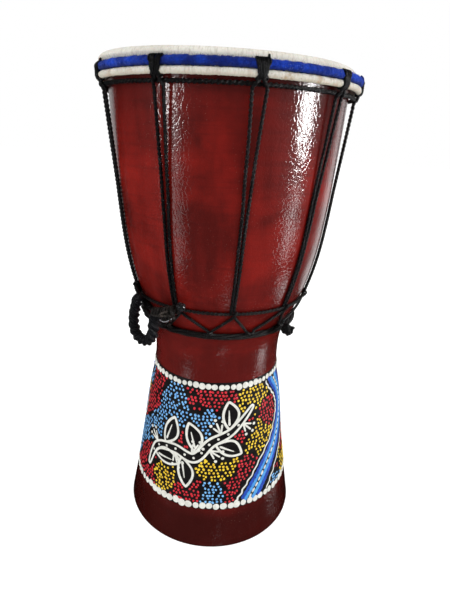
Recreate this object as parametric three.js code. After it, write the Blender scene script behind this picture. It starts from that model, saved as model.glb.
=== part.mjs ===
// Rope-tuned goblet drum (djembe), in millimetres, +Z up.
// The origin is the centre of the foot's flat rim, on the surface that the drum stands on.
// Angles go round the drum from its front, which faces -Y, towards +X.

import * as THREE from 'three';

// Driving dimensions
const HEIGHT = 501;
const GAP = 0.3;
const ROUND_STEPS = 40;
const STATIONS = 10;
const STATION_STEP = 360 / STATIONS;
const FIRST_STATION = 11;

const SKIN_THICKNESS = 1;
const EDGE_CENTRE_RADIUS = 112.6;
const EDGE_ROUNDING = 4.4;
const COLLAR_BOTTOM = 487.6;
const EDGE_CENTRE_HEIGHT = HEIGHT - SKIN_THICKNESS - GAP - EDGE_ROUNDING;
const FOOT_RIM_RADIUS = 100.4;

const CROWN = { radius: 122.2, height: 490.9, wrap: 3.42, bore: 2.7, hoop: 2.4 };
const FLESH = { radius: 122.2, height: 484.4, wrap: 2.75, bore: 1.75, hoop: 1.45 };
const WAIST = { radius: 83.6, height: 255.6, wrap: 2.8, bore: 1.9, hoop: 1.6 };

const CORD_RADIUS = 1.5;
const CORD_SIDES = 6;
const TOP_CORD_HEIGHT = 477.5;
const TOP_CORD_RADIUS = 1.6;
const TOP_CORD_RING = 118.9;
const VERTICAL_TOP_RADIUS = 120;
const VERTICAL_TOUCHES = 335;
const LOWER_CORD_HEIGHT = 283.5;
const PAIR_SPREAD_TOP = 2.15;
const PAIR_SPREAD_BOTTOM = 1.1;
const FOOT_CLEARANCE = 1.5;

const LOOP_WIDTH = 9;
const LOOP_THICKNESS = 1.7;

// The lacing was pulled tight by hand, so no two stations are quite alike. All in degrees:
// turn: how far a station's loop and its vertical run are off their even place
// lean: how far the vertical run drifts round the bowl on its way down
// apex: how far the cradle loop's top is off the station's even place
// foot: how far the place where this cradle loop's foot meets the next one's is off the middle
const LACING = [
  { turn: 0, lean: -3, apex: -1.5, foot: -7 },
  { turn: 2, lean: -5.6, apex: -2.5, foot: -16.5 },
  { turn: -4, lean: -4.5, apex: -6, foot: -5 },
  { turn: 1, lean: 1.5, apex: 1, foot: 3 },
  { turn: 0, lean: 2, apex: 2, foot: -4 },
  { turn: -1, lean: -1.5, apex: -2, foot: 2 },
  { turn: 1, lean: 1, apex: 1, foot: -3 },
  { turn: -1, lean: 2, apex: 1.5, foot: 5 },
  { turn: -5, lean: 6, apex: 3, foot: 8 },
  { turn: -1.5, lean: 0.8, apex: 2.5, foot: 2 },
];

// Outlines of the turned goblet as radius and height, from the foot upwards
const OUTER_OUTLINE = [
  [101.6, 1.2], [93.1, 51], [86.1, 97], [78, 156], [72.8, 185], [71, 212], [73.6, 238],
  [83.2, 263], [94, 292], [102.9, 331], [108.4, 380], [112.3, 438], [114.5, 478], [116.6, 487.5],
  [117, 495.3],
];
const INNER_OUTLINE = [
  [88, 0], [70, 65], [54, 130], [47, 185], [46, 215], [50, 240], [64, 264],
  [78, 292], [89, 331], [96, 380], [100, 438], [103.5, 495.3],
];

const OUTER_STEPS = 20;
const INNER_STEPS = 13;
const OUTLINE_SAMPLES = 200;

// Carry handle: its two ends lie on the line that it swings about, and it hangs below them
const HANDLE_UPPER = { radius: 103.5, angle: -53.5, height: 291 };
const HANDLE_LOWER = { radius: 103.5, angle: -35, height: 278 };
const HANDLE_RADIUS = 5.2;
// The rope's middle: how far along that line from the upper end, and how far below it
const HANDLE_ROUTE = [
  [5.4, 0], [5.5, 6], [5.6, 12], [5.8, 18], [6.4, 25], [8, 31.6], [10.4, 37], [13.8, 40.8],
  [17.8, 43.2], [22, 43.6], [26.4, 42.6], [31, 40.2], [35, 36.6], [37.8, 31.4], [39, 25],
  [38.8, 19.5], [37.6, 14], [36.3, 9.5], [35.7, 5], [35.7, 0],
];
const TIE = { angle: -56.2, low: 293.5, high: 300.5, radius: 2.3, standOff: 1.5 };
const KNOT = { start: -31.7, end: -24.3, radius: 102, turns: 5, pitch: 2.6, high: 5.8, low: 5 };
const MELTED_END = { radius: 102.4, angle: -19.8, height: 290, size: 4.2 };
const TAIL_KNOT = { radius: 98.2, angle: 45.6, height: 260.5, size: 6.4 };
const TAIL_CORD_RADIUS = 1.9;

const degrees = (value) => (value * Math.PI) / 180;

function around(radius, angle, height) {
  const turn = degrees(angle);
  return new THREE.Vector3(radius * Math.sin(turn), -radius * Math.cos(turn), height);
}

function arc(centreRadius, centreHeight, radius, from, to, steps) {
  const points = [];
  for (let i = 0; i <= steps; i += 1) {
    const turn = degrees(from + ((to - from) * i) / steps);
    points.push([centreRadius + radius * Math.cos(turn), centreHeight + radius * Math.sin(turn)]);
  }
  return points;
}

// A curve whose own parameter is its spacing, so points can sit closer together where it bends.
class Route extends THREE.CatmullRomCurve3 {
  getPointAt(share, target) {
    return this.getPoint(share, target);
  }

  getTangentAt(share, target) {
    return this.getTangent(share, target);
  }
}

// Turns a closed outline of radius and height round the drum's axis.
function turned(outline) {
  const points = outline.map(([radius, height]) => new THREE.Vector2(radius, height));
  points.push(points[0].clone());
  const geometry = new THREE.LatheGeometry(points, ROUND_STEPS, degrees(FIRST_STATION));
  geometry.rotateX(Math.PI / 2);
  return geometry;
}

function roundSection(radius, sides) {
  const section = new THREE.Shape();
  for (let i = 0; i < sides; i += 1) {
    const turn = (2 * Math.PI * i) / sides;
    const x = radius * Math.cos(turn);
    const y = radius * Math.sin(turn);
    if (i === 0) section.moveTo(x, y);
    else section.lineTo(x, y);
  }
  section.closePath();
  return section;
}

function tube(points, radius, sides, steps) {
  const extrudePath = new Route(points);
  return new THREE.ExtrudeGeometry(roundSection(radius, sides), { steps, extrudePath });
}

function piece(name, geometry, color, roughness, metalness = 0) {
  const material = new THREE.MeshStandardMaterial({ color, roughness, metalness });
  const mesh = new THREE.Mesh(geometry, material);
  mesh.name = name;
  return mesh;
}

const woodPiece = (name, geometry) => piece(name, geometry, 0x6b1a12, 0.25);
const skinPiece = (name, geometry) => piece(name, geometry, 0xe6e0d2, 0.75);
const steelPiece = (name, geometry) => piece(name, geometry, 0x8d9094, 0.35, 1);
const clothPiece = (name, geometry) => piece(name, geometry, 0x1c2f9c, 0.95);
const cordPiece = (name, geometry) => piece(name, geometry, 0x17181a, 0.6);

const outerCurve = new THREE.SplineCurve(OUTER_OUTLINE.map(([r, z]) => new THREE.Vector2(r, z)));
const innerCurve = new THREE.SplineCurve(INNER_OUTLINE.map(([r, z]) => new THREE.Vector2(r, z)));
const outerPoints = outerCurve.getPoints(OUTLINE_SAMPLES);

// The goblet's outer radius at a height, read off its outline
function bowlRadius(height) {
  const above = outerPoints.findIndex((point) => point.y >= height);
  if (above <= 0) return outerPoints[0].x;
  const low = outerPoints[above - 1];
  const high = outerPoints[above];
  return low.x + ((high.x - low.x) * (height - low.y)) / (high.y - low.y);
}

// How far out a cord's middle sits when it lies on the goblet
function lyingRadius(height, cordRadius) {
  const slope = (bowlRadius(height + 2) - bowlRadius(height - 2)) / 4;
  return bowlRadius(height) + (cordRadius + GAP) * Math.hypot(1, slope) + GAP / 2;
}

function shell() {
  const outside = outerCurve.getPoints(OUTER_STEPS).map((point) => [point.x, point.y]);
  const inside = innerCurve.getPoints(INNER_STEPS).map((point) => [point.x, point.y]);
  const bearingEdge = arc(EDGE_CENTRE_RADIUS, EDGE_CENTRE_HEIGHT, EDGE_ROUNDING, 18, 90, 3);
  const bevel = [108.5, EDGE_CENTRE_HEIGHT + EDGE_ROUNDING - 1.2];
  const outline = [[FOOT_RIM_RADIUS, 0], ...outside, ...bearingEdge, bevel, ...inside.reverse()];
  return woodPiece('shell', turned(outline));
}

// The skin: flat head, rounded over the bearing edge, a collar down to the flesh hoop, and a roll
// that wraps the hoop from inside, under it and up over it, ending in an open slit on top.
function drumSkin() {
  const face = EDGE_ROUNDING + GAP + SKIN_THICKNESS;
  const back = EDGE_ROUNDING + GAP;
  const outline = [
    [0, HEIGHT],
    ...arc(EDGE_CENTRE_RADIUS, EDGE_CENTRE_HEIGHT, face, 90, 0, 3),
    [EDGE_CENTRE_RADIUS + face, COLLAR_BOTTOM],
    ...arc(FLESH.radius, FLESH.height, FLESH.bore, 150, 455, 8),
    ...arc(FLESH.radius, FLESH.height, FLESH.wrap, 455, 165, 9),
    [EDGE_CENTRE_RADIUS + back, COLLAR_BOTTOM - 0.4],
    ...arc(EDGE_CENTRE_RADIUS, EDGE_CENTRE_HEIGHT, back, 0, 90, 3),
    [0, HEIGHT - SKIN_THICKNESS],
  ];
  return skinPiece('drum_skin', turned(outline.reverse()));
}

function hoop(name, ring) {
  const section = arc(ring.radius, ring.height, ring.hoop, 0, 300, 5);
  return steelPiece(name, turned(section));
}

// A winding round a hoop, open along a narrow seam that faces slitAngle in the ring's section
function winding(ring, slitAngle) {
  const outside = arc(ring.radius, ring.height, ring.wrap, slitAngle + 8, slitAngle + 352, 10);
  const inside = arc(ring.radius, ring.height, ring.bore, slitAngle + 348, slitAngle + 12, 7);
  return turned([...outside, ...inside]);
}

function ringCord(name, radius, height, cordRadius) {
  return cordPiece(name, turned(arc(radius, height, cordRadius, 0, 300, 5)));
}

// A band that hooks over the crown hoop, runs down outside both hoops and turns in under the roll
function crownLoop(name, angle) {
  const inner = CROWN.wrap + GAP;
  const low = FLESH.wrap + GAP;
  const near = [
    ...arc(CROWN.radius, CROWN.height, inner, 105, -20, 5),
    ...arc(FLESH.radius, FLESH.height, low, 10, -100, 4),
  ];
  const far = [
    ...arc(FLESH.radius, FLESH.height, low + LOOP_THICKNESS, -100, 5, 4),
    ...arc(CROWN.radius, CROWN.height, inner + LOOP_THICKNESS, -15, 105, 5),
  ];
  const outline = new THREE.Shape([...near, ...far].map(([r, z]) => new THREE.Vector2(r, z)));
  const geometry = new THREE.ExtrudeGeometry(outline, { depth: LOOP_WIDTH, bevelEnabled: false, steps: 1 });
  geometry.translate(0, 0, -LOOP_WIDTH / 2);
  geometry.rotateX(Math.PI / 2);
  geometry.rotateZ(degrees(angle - 90));
  return cordPiece(name, geometry);
}

// One leg of a vertical run: taut and straight from under the crown loop to where it meets the
// bowl, then lying on the bowl
function verticalLeg(name, station, lean, side) {
  const top = TOP_CORD_HEIGHT - TOP_CORD_RADIUS - GAP;
  const bottom = LOWER_CORD_HEIGHT + 2 * CORD_RADIUS;
  const touching = lyingRadius(VERTICAL_TOUCHES, CORD_RADIUS);
  const points = [];
  const steps = 8;
  for (let i = 0; i <= steps; i += 1) {
    const share = i / steps;
    const height = top + (bottom - top) * share;
    const spread = PAIR_SPREAD_TOP + (PAIR_SPREAD_BOTTOM - PAIR_SPREAD_TOP) * share;
    const above = (height - VERTICAL_TOUCHES) / (top - VERTICAL_TOUCHES);
    const straight = touching + (VERTICAL_TOP_RADIUS - touching) * above;
    const lying = lyingRadius(height, CORD_RADIUS);
    const radius = above > 0 ? Math.max(lying, straight) : lying;
    points.push(around(radius, station + lean * share + side * spread, height));
  }
  return cordPiece(name, tube(points, CORD_RADIUS, CORD_SIDES, steps));
}

// An inverted V: up from the waist ring, over under the lower cord, and down again
function cradleLoop(name, left, apex, right) {
  const bottom = WAIST.height + 6;
  const top = LOWER_CORD_HEIGHT - 2 * CORD_RADIUS - 2 * GAP;
  const legSteps = 4;
  const points = [];
  for (let i = -legSteps; i <= legSteps; i += 1) {
    const share = Math.abs(i) / legSteps;
    const foot = i < 0 ? left : right;
    const angle = apex + (foot - apex) * share;
    const height = top + (bottom - top) * share;
    points.push(around(lyingRadius(height, CORD_RADIUS) + GAP, angle, height));
  }
  return cordPiece(name, tube(points, CORD_RADIUS, CORD_SIDES, 2 * legSteps));
}

function lacing() {
  const pieces = [];
  for (let i = 0; i < STATIONS; i += 1) {
    const { turn, lean, apex, foot } = LACING[i];
    const previous = LACING[(i + STATIONS - 1) % STATIONS];
    const even = FIRST_STATION + STATION_STEP * i;
    const left = even - STATION_STEP / 2 + previous.foot + FOOT_CLEARANCE;
    const right = even + STATION_STEP / 2 + foot - FOOT_CLEARANCE;
    const number = i + 1;
    pieces.push(crownLoop(`crown_loop_${number}`, even + turn));
    pieces.push(verticalLeg(`vertical_cord_${number}_left`, even + turn, lean, -1));
    pieces.push(verticalLeg(`vertical_cord_${number}_right`, even + turn, lean, 1));
    pieces.push(cradleLoop(`cradle_loop_${number}`, left, even + apex, right));
  }
  return pieces;
}

// The line between the handle's two ends, which it swings about
function handleLine() {
  const start = around(HANDLE_UPPER.radius, HANDLE_UPPER.angle, HANDLE_UPPER.height);
  const end = around(HANDLE_LOWER.radius, HANDLE_LOWER.angle, HANDLE_LOWER.height);
  const along = end.clone().sub(start).normalize();
  const down = new THREE.Vector3(0, 0, -1);
  down.addScaledVector(along, -down.dot(along)).normalize();
  return { start, along, down };
}

function carryHandle() {
  const { start, along, down } = handleLine();
  const points = HANDLE_ROUTE.map(([across, drop]) => (
    start.clone().addScaledVector(along, across).addScaledVector(down, drop)
  ));
  return cordPiece('carry_handle', tube(points, HANDLE_RADIUS, 8, 2 * (points.length - 1)));
}

// Turns an outline of radius and distance about a line
function turnedAlong(outline, start, direction, sides) {
  const points = outline.map(([radius, along]) => new THREE.Vector2(radius, along));
  const geometry = new THREE.LatheGeometry(points, sides);
  const turn = new THREE.Quaternion().setFromUnitVectors(new THREE.Vector3(0, 1, 0), direction);
  geometry.applyQuaternion(turn);
  geometry.translate(start.x, start.y, start.z);
  return geometry;
}

// The lashing between the handle's upper end and the nearest vertical run
function handleTie() {
  const [from, to] = [TIE.low, TIE.high].map((height) => (
    around(lyingRadius(height, TIE.radius) + TIE.standOff, TIE.angle, height)
  ));
  const way = to.sub(from);
  const length = way.length();
  const waist = 0.7 * TIE.radius;
  const outline = [[0, 0], [waist, 0], [TIE.radius, length / 3], [TIE.radius, (2 * length) / 3],
    [waist, length], [0, length]];
  return cordPiece('handle_tie', turnedAlong(outline, from, way.normalize(), 10));
}

// Whipping turns side by side, each one a low ridge
function handleKnot() {
  const start = around(KNOT.radius, KNOT.start, 280);
  const end = around(KNOT.radius, KNOT.end, 283);
  const outline = [[0, 0], [KNOT.low - 1, 0]];
  for (let i = 0; i < KNOT.turns; i += 1) {
    outline.push([KNOT.high, (i + 0.5) * KNOT.pitch], [KNOT.low, (i + 1) * KNOT.pitch]);
  }
  const length = KNOT.turns * KNOT.pitch;
  outline.push([0, length + 0.4]);
  return cordPiece('handle_knot', turnedAlong(outline, start, end.sub(start).normalize(), 10));
}

// A lump of melted or knotted cord, slightly faceted as such lumps are
function lump(name, { radius, angle, height, size }) {
  const geometry = new THREE.SphereGeometry(size, 10, 7);
  const centre = around(radius, angle, height);
  geometry.translate(centre.x, centre.y, centre.z);
  return cordPiece(name, geometry);
}

function tailCord() {
  const points = [around(90.8, 45.2, 268.6), around(91.8, 45.3, 267.4), around(93.2, 45.4, 265.6)];
  return cordPiece('tail_cord', tube(points, TAIL_CORD_RADIUS, 8, 3));
}

const djembe = new THREE.Group();
djembe.add(
  shell(),
  drumSkin(),
  hoop('flesh_hoop', FLESH),
  hoop('crown_hoop', CROWN),
  clothPiece('crown_wrap', winding(CROWN, 180)),
  ringCord('top_cord', TOP_CORD_RING, TOP_CORD_HEIGHT, TOP_CORD_RADIUS),
  ringCord('lower_cord', lyingRadius(LOWER_CORD_HEIGHT, CORD_RADIUS), LOWER_CORD_HEIGHT, CORD_RADIUS),
  hoop('bottom_hoop', WAIST),
  cordPiece('bottom_wrap', winding(WAIST, 180)),
  carryHandle(),
  handleTie(),
  handleKnot(),
  lump('melted_end', MELTED_END),
  tailCord(),
  lump('tail_knot', TAIL_KNOT),
  ...lacing(),
);

export default djembe;
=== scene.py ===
# Djembe: the visual model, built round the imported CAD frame. Metres, +Z up, the front faces -Y.
# Angles go round the drum in degrees from its front towards +X, as they do in the CAD.

import math

import bpy
import numpy as np
from mathutils import Matrix, Vector


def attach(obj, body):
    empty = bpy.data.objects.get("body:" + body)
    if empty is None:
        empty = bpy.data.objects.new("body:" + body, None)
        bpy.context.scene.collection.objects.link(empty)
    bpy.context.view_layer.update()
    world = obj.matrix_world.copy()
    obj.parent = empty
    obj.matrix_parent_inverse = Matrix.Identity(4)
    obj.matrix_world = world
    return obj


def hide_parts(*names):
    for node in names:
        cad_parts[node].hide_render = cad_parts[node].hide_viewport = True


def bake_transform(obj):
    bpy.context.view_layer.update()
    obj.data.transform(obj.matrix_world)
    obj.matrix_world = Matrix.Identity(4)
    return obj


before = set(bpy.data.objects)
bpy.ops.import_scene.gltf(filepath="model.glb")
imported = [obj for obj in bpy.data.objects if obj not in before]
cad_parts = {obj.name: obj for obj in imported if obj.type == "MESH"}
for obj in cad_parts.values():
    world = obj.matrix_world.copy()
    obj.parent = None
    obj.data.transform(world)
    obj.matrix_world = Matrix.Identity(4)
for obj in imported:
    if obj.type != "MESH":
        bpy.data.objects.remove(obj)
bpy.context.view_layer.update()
dice = np.random.default_rng(7)

# Dimensions that the CAD also has
HEIGHT = 0.501
GAP = 0.0003
STATIONS = 10
STATION_STEP = 360 / STATIONS
FIRST_STATION = 11
EDGE_RADIUS = 0.1126
EDGE_ROUNDING = 0.0044
COLLAR_BOTTOM = 0.4876
SKIN_THICKNESS = 0.001
EDGE_HEIGHT = HEIGHT - SKIN_THICKNESS - GAP - EDGE_ROUNDING
FOOT_RIM_RADIUS = 0.1004
CROWN_RADIUS, CROWN_HEIGHT, CROWN_WRAP = 0.1222, 0.4909, 0.00342
FLESH_RADIUS, FLESH_HEIGHT, FLESH_WRAP, FLESH_BORE = 0.1222, 0.4844, 0.00275, 0.00175
WAIST_RADIUS, WAIST_HEIGHT = 0.0836, 0.2556
CORD_RADIUS = 0.0015
TOP_CORD_HEIGHT, TOP_CORD_RADIUS, TOP_CORD_RING = 0.4775, 0.0016, 0.1189
VERTICAL_TOP, VERTICAL_TOP_RADIUS, VERTICAL_TOUCHES = 0.4756, 0.12, 0.335
LOWER_CORD_HEIGHT = 0.2835
FOOT_CLEARANCE = 1.5
# Each station's (turn, lean, apex, foot) in degrees: how far its loop is off its even place, how far
# its legs lean on their way down, and how far its cradle loop's top and right foot are off theirs
LACING = [
    (0, -3, -1.5, -7), (2, -5.6, -2.5, -16.5), (-4, -4.5, -6, -5), (1, 1.5, 1, 3), (0, 2, 2, -4),
    (-1, -1.5, -2, 2), (1, 1, 1, -3), (-1, 2, 1.5, 5), (-5, 6, 3, 8), (-1.5, 0.8, 2.5, 2),
]
OUTER_OUTLINE = [
    (0.1016, 0.0012), (0.0931, 0.051), (0.0861, 0.097), (0.078, 0.156), (0.0728, 0.185),
    (0.071, 0.212), (0.0736, 0.238), (0.0832, 0.263), (0.094, 0.292), (0.1029, 0.331),
    (0.1084, 0.38), (0.1123, 0.438), (0.1145, 0.478), (0.1166, 0.4875), (0.117, 0.4953),
]
INNER_OUTLINE = [
    (0.088, 0), (0.07, 0.065), (0.054, 0.13), (0.047, 0.185), (0.046, 0.215), (0.05, 0.24),
    (0.064, 0.264), (0.078, 0.292), (0.089, 0.331), (0.096, 0.38), (0.1, 0.438), (0.1035, 0.4953),
]
# The handle: half its thickness, its ends as (distance from the axis, angle, height), and its middle
# line as (how far along the straight line between the ends, how far below it)
HANDLE_RADIUS = 0.0052
HANDLE_UPPER = (0.1035, -53.5, 0.291)
HANDLE_LOWER = (0.1035, -35, 0.278)
HANDLE_ROUTE = [
    (0.0054, 0), (0.0055, 0.006), (0.0056, 0.012), (0.0058, 0.018), (0.0064, 0.025), (0.008, 0.0316),
    (0.0104, 0.037), (0.0138, 0.0408), (0.0178, 0.0432), (0.022, 0.0436), (0.0264, 0.0426),
    (0.031, 0.0402), (0.035, 0.0366), (0.0378, 0.0314), (0.039, 0.025), (0.0388, 0.0195),
    (0.0376, 0.014), (0.0363, 0.0095), (0.0357, 0.005), (0.0357, 0),
]
MELTED_END, MELTED_SIZE = (0.1024, -19.8, 0.29), 0.0042
TAIL_KNOT, TAIL_SIZE = (0.0982, 45.6, 0.2605), 0.0064
TAIL_ROUTE = [(0.0908, 45.2, 0.2686), (0.0918, 45.3, 0.2674), (0.0932, 45.4, 0.2656)]

# Where the skin's edge stands up and out most, how widely, and how far
RAISED_AT, RAISED_SPREAD = -92, 1.25
RAISED_UP, RAISED_OUT = 0.0022, 0.0046

# The camera: where it stands, its angles in degrees, and its lens and sensor in millimetres
CAMERA_PLACE = (0, -0.4833, 0.4433)
CAMERA_TURN, CAMERA_LOOKS_DOWN, CAMERA_ROLL = -0.82, 20.43, 3.0
CAMERA_LENS, CAMERA_SENSOR = 27, 36

# The painted band on the foot: its edges, about its radius, and the rows of white dots
BAND_LOW, BAND_HIGH, BAND_RADIUS = 0.0475, 0.1965, 0.085
ROW_LOW, ROW_HIGH = 0.0515, 0.1915


# ---------------------------------------------------------------- curves and surfaces

def spline(points, samples):
    """Points on a uniform Catmull-Rom curve through the given ones."""
    p = np.array(points, float)
    t = np.linspace(0, len(p) - 1, samples)
    i = np.minimum(t.astype(int), len(p) - 2)
    w = (t - i)[:, None]
    a, b = p[np.maximum(i - 1, 0)], p[i]
    c, d = p[i + 1], p[np.minimum(i + 2, len(p) - 1)]
    return 0.5 * (2 * b + (c - a) * w + (2 * a - 5 * b + 4 * c - d) * w**2 + (3 * b - a - 3 * c + d) * w**3)


OUTSIDE = spline(OUTER_OUTLINE, 400)


def bowl_radius(height):
    return np.interp(height, OUTSIDE[:, 1], OUTSIDE[:, 0])


def bowl_slope(height):
    return (bowl_radius(height + 0.002) - bowl_radius(height - 0.002)) / 0.004


def lying_radius(height, cord_radius):
    """How far out a cord's middle sits when it lies on the goblet."""
    return bowl_radius(height) + (cord_radius + GAP) * np.hypot(1, bowl_slope(height)) + GAP / 2


def on_bowl(angle, height, lift=0.0):
    """Where the middle of a lacing cord is when it lies on the goblet, or lift further out."""
    return around(lying_radius(height, CORD_RADIUS) + lift, angle, height)


def around(radius, angle, height):
    """A point, or many, from the distance to the drum's axis, the angle and the height."""
    turn = np.radians(angle)
    parts = np.broadcast_arrays(radius * np.sin(turn), -radius * np.cos(turn), height)
    return np.stack(parts, axis=-1)


def level_ways(angle):
    """Level unit vectors at an angle: outwards, and round the drum."""
    turn = math.radians(angle)
    return np.array([math.sin(turn), -math.cos(turn), 0]), np.array([math.cos(turn), math.sin(turn), 0])


def along_route(points, closed=False):
    """Unit vectors along a route."""
    if closed:
        return unit(np.roll(points, -1, axis=0) - np.roll(points, 1, axis=0))
    return unit(np.gradient(points, axis=0))


def outward(points):
    """Unit vectors from the drum's axis, level."""
    flat = np.array(points, float)
    flat[..., 2] = 0
    return unit(flat)


def unit(vectors):
    return vectors / np.maximum(np.linalg.norm(vectors, axis=-1, keepdims=True), 1e-12)


def surface(angle, height, lift=0.0):
    """A point on the goblet's outside, its normal, and the ways round and up the surface."""
    slope = bowl_slope(height)
    tilt = np.hypot(1, slope)
    turn = np.radians(angle)
    out = np.stack(np.broadcast_arrays(np.sin(turn), -np.cos(turn), 0 * turn), axis=-1)
    ring = np.stack(np.broadcast_arrays(np.cos(turn), np.sin(turn), 0 * turn), axis=-1)
    z = np.array([0.0, 0.0, 1.0])
    one = np.asarray(1 / tilt)[..., None]
    lean = np.asarray(slope / tilt)[..., None]
    normal = out * one - z * lean
    up = z * one + out * lean
    point = around(bowl_radius(height), angle, height) + normal * lift
    return point, normal, ring, up


def resample(points, step, closed=False):
    """The same route with its points an even step apart."""
    p = np.array(points, float)
    if closed:
        p = np.vstack([p, p[:1]])
    length = np.r_[0, np.cumsum(np.linalg.norm(np.diff(p, axis=0), axis=1))]
    count = max(4, int(round(length[-1] / step)) + 1)
    at = np.linspace(0, length[-1], count)
    if closed:
        at = at[:-1]
    return np.stack([np.interp(at, length, p[:, k]) for k in range(p.shape[1])], axis=1), length[-1]


def smooth_noise(count, waves, amount, closed=False):
    """A slow random wander along a route, the same on every run."""
    at = np.linspace(0, 1, count, endpoint=not closed)
    total = np.zeros(count)
    for k in range(1, waves + 1):
        total += dice.normal() * np.sin(2 * math.pi * (k * at + dice.random())) / math.sqrt(k)
    return total * amount / math.sqrt(waves)


# ---------------------------------------------------------------- meshes

class Bundle:
    """Gathers the points and faces of many small shapes into one mesh."""

    def __init__(self):
        self.points = []
        self.faces = []
        self.count = 0

    def add(self, points, faces):
        points = np.asarray(points, float).reshape(-1, 3)
        self.points.append(points)
        self.faces.extend([[v + self.count for v in face] for face in faces])
        self.count += len(points)

    def piece(self, name, material, smooth=True):
        mesh = bpy.data.meshes.new(name)
        mesh.from_pydata(np.vstack(self.points).tolist(), [], self.faces)
        mesh.validate()
        mesh.materials.append(material)
        if smooth:
            mesh.shade_smooth()
        obj = bpy.data.objects.new(name, mesh)
        bpy.context.scene.collection.objects.link(obj)
        return obj


def grid_faces(rows, columns, rows_close=False, columns_close=True):
    r = np.arange(rows if rows_close else rows - 1)[:, None]
    c = np.arange(columns if columns_close else columns - 1)[None, :]
    nr = (r + 1) % rows
    nc = (c + 1) % columns
    corners = (r * columns + c, r * columns + nc, nr * columns + nc, nr * columns + c)
    return np.stack(np.broadcast_arrays(*corners), -1).reshape(-1, 4).tolist()


def cap_faces(rows, columns):
    """Joins a grid's first and last rows to the two points that come straight after the grid's."""
    first = rows * columns
    last_row = first - columns
    faces = []
    for j in range(columns):
        k = (j + 1) % columns
        faces.append([first, k, j])
        faces.append([first + 1, last_row + j, last_row + k])
    return faces


def turned(bundle, outline, steps, wobble=None):
    """Turns a closed outline of radius and height round the drum's axis. An outline that starts and
    ends on the axis gets a single point there. wobble(angle, radius, height) moves points outwards."""
    profile = np.array(outline, float)
    poles = profile[0, 0] < 1e-6 and profile[-1, 0] < 1e-6
    body = profile[1:-1] if poles else profile
    angle = np.linspace(0, 360, steps, endpoint=False)
    radius = body[:, :1] + 0 * angle
    height = body[:, 1:] + 0 * angle
    if wobble is not None:
        move_out, move_up = wobble(angle[None, :] + 0 * radius, radius, height)
        radius = radius + move_out
        height = height + move_up
    points = around(radius, angle[None, :], height).reshape(-1, 3)
    faces = grid_faces(len(body), steps, rows_close=not poles)
    if poles:
        points = np.vstack([points, [0, 0, profile[0, 1]], [0, 0, profile[-1, 1]]])
        faces += cap_faces(len(body), steps)
    bundle.add(points, faces)


def sweep(bundle, points, side, up, sections, closed=False):
    """A tube along points. sections holds each ring's offsets as (along side, along up)."""
    rings = points[:, None, :] + side[:, None, :] * sections[..., :1] + up[:, None, :] * sections[..., 1:]
    rows, columns = rings.shape[:2]
    faces = grid_faces(rows, columns, rows_close=closed)
    flat = rings.reshape(-1, 3)
    if not closed:
        start, end = 2 * points[0] - points[1], 2 * points[-1] - points[-2]
        flat = np.vstack([flat, start, end])
        faces += cap_faces(rows, columns)
    bundle.add(flat, faces)


def rope(bundle, path, radius, reference=None, closed=False, strands=3, lay=0.009, groove=0.34,
         sides=12, step=0.0009, swell=None, samples=None):
    """A laid rope along a path: strands twist round each other and leave grooves between them.
    reference is a direction that the rope never runs along; without it, outwards from the drum."""
    route = np.array(path, float)
    if samples:
        route = spline(route, samples)
    route, length = resample(route, step, closed)
    tangent = along_route(route, closed)
    across = outward(route) if reference is None else np.broadcast_to(reference, route.shape)
    side = unit(np.cross(tangent, across))
    up = np.cross(side, tangent)
    count = len(route)
    share = np.linspace(0, 1, count, endpoint=not closed)
    turns = length / lay
    if closed:
        turns = round(turns * strands) / strands
    phi = np.linspace(0, 2 * math.pi, sides, endpoint=False)
    twist = 2 * math.pi * turns * share + dice.random() * 6
    dip = np.abs(np.sin(strands * (phi[None, :] - twist[:, None]) / 2)) ** 2.5
    size = radius * (1 - groove * dip)
    if swell is not None:
        size = size * swell(share)[:, None]
    if not closed:
        reach = np.minimum(share, 1 - share) * length
        size = size * np.sqrt(np.clip(reach / radius + 0.25, 0, 1))[:, None]
    sections = np.stack([size * np.cos(phi), size * np.sin(phi)], axis=-1)
    sweep(bundle, route, side, up, sections, closed)
    return length


def needle(bundle, root, way, length, width, bend):
    """A thin loose fibre that tapers to a point."""
    way = unit(way)
    spare = np.array([0.3, 0.5, 0.8]) if abs(way[2]) < 0.8 else np.array([1.0, 0.2, 0.0])
    a = unit(np.cross(way, spare))
    b = np.cross(way, a)
    rows = 4
    points = []
    for i in range(rows):
        t = i / rows
        middle = root + way * length * t + bend * t * t
        for j in range(3):
            turn = 2 * math.pi * j / 3
            points.append(middle + width * (1 - t) * (a * math.cos(turn) + b * math.sin(turn)))
    faces = grid_faces(rows, 3)
    tip = len(points)
    points.append(root + way * length + bend)
    faces += [[tip, tip - 3 + (j + 1) % 3, tip - 3 + j][::-1] for j in range(3)]
    faces.append([2, 1, 0])
    bundle.add(points, faces)


# ---------------------------------------------------------------- materials

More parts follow.
